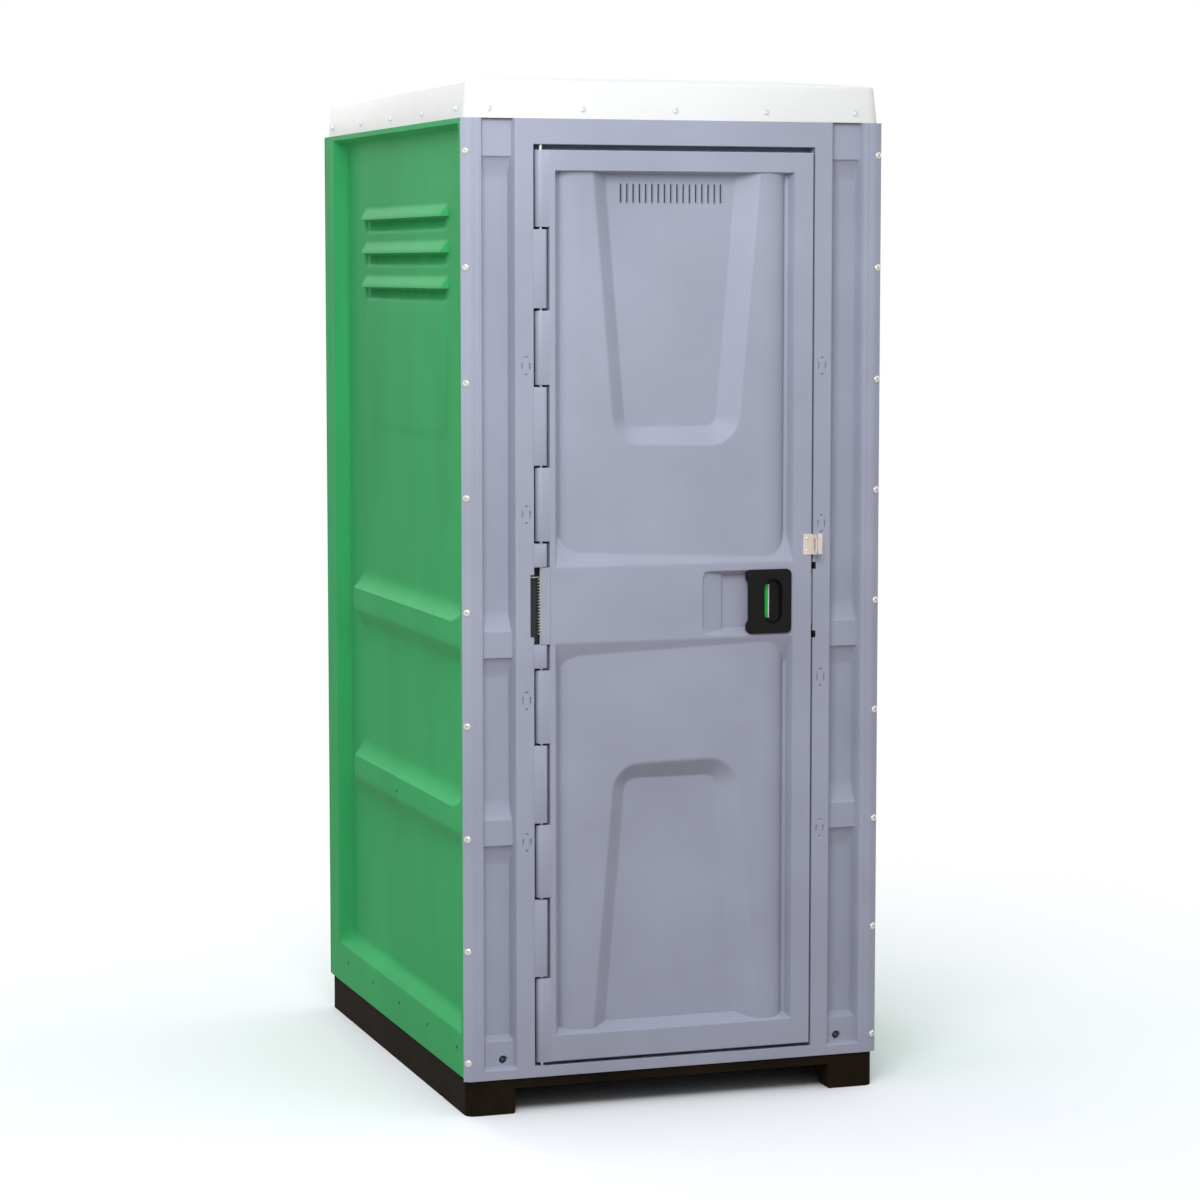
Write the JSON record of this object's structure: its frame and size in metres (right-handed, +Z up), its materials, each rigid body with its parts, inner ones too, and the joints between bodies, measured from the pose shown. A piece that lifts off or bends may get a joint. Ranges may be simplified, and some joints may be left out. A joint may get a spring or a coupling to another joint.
{
  "type": "portable toilet cabin",
  "caption": "Free-standing moulded toilet cabin: pallet base, panelled walls, hinged door with spring closer and sliding latch, holding tank with seat, vent stack.",
  "frame": {"origin": "centre of the bounding box's footprint, on the ground", "axes": "+Z up, -Y out of the front through the door, +X to the right seen from the front"},
  "size_m": [0.998, 1.282, 2.327],
  "materials": {
    "green_plastic": "satin moulded polyethylene",
    "grey_plastic": "fine grained moulded polyethylene",
    "white_plastic": "satin moulded polyethylene",
    "black_plastic": "matt moulded polyethylene",
    "floor_plastic": "matt with raised treads",
    "tank_plastic": "matt moulded polyethylene",
    "seat_plastic": "semi gloss",
    "pipe_plastic": "smooth extruded",
    "latch_plastic": "fine grained, satin",
    "vacant_field": "smooth",
    "engaged_field": "smooth",
    "zinc_steel": "zinc plated",
    "stainless_steel": "brushed",
    "nickel_steel": "satin nickel",
    "spring_steel": "drawn wire, yellow passivated",
    "aluminium_rivet": "as pressed",
    "green_screw": "painted to match the walls",
    "dark_bolt": "dark painted"
  },
  "bodies": {
    "cabin": {"base_tray": "black_plastic", "floor_pan": "floor_plastic", "side_wall_left": "green_plastic", "side_wall_right": "green_plastic", "rear_wall": "green_plastic", "front_frame": "grey_plastic", "roof": "white_plastic", "strike_plate": "stainless_steel", "hinge_pin": "zinc_steel", "door_spring": "spring_steel", "hasp_frame_bracket": "nickel_steel", "hasp_frame_rivets": "aluminium_rivet", "roof_screws": "zinc_steel", "plinth_screws": "green_screw", "front_corner_rivets": "aluminium_rivet", "rear_corner_rivets": "aluminium_rivet", "column_bolts": "dark_bolt", "waste_tank": "tank_plastic", "toilet_seat": "seat_plastic", "lid_brackets": "tank_plastic", "lid_pin": "zinc_steel", "vent_pipe": "pipe_plastic", "vent_cap": "pipe_plastic", "paper_holder": "tank_plastic", "coat_hook": "tank_plastic"},
    "door": {"door_outer_shell": "grey_plastic", "door_inner_shell": "grey_plastic", "spring_cover": "grey_plastic", "latch_handle": "latch_plastic", "latch_guide": "latch_plastic", "latch_escutcheon": "latch_plastic", "hasp_door_bracket": "nickel_steel", "hasp_door_rivets": "aluminium_rivet"},
    "latch": {"latch_carriage": "latch_plastic", "indicator_green": "vacant_field", "indicator_red": "engaged_field", "latch_bolt": "zinc_steel", "latch_knob": "latch_plastic"},
    "lid": {"seat_lid": "seat_plastic"},
    "spindle": {"paper_spindle": "pipe_plastic"}
  },
  "joints": [
    {"name": "door_swing", "type": "hinge", "parent": "cabin", "child": "door", "pos_m": [-0.313, -0.597, 1.1315], "axis": [0, 0, -1], "range_deg": [0, 95], "stiffness_Nm_per_rad": 3, "springref_deg": -20.05},
    {"name": "latch_slide", "type": "slide", "parent": "door", "child": "latch", "axis": [1, 0, 0], "range_m": [0, 0.02]},
    {"name": "lid_hinge", "type": "hinge", "parent": "cabin", "child": "lid", "pos_m": [0, 0.534, 0.48], "axis": [-1, 0, 0], "range_deg": [0, 95]},
    {"name": "spindle_spin", "type": "hinge", "parent": "cabin", "child": "spindle", "pos_m": [-0.409, 0.024, 0.805], "axis": [0, 1, 0], "continuous": true}
  ]
}
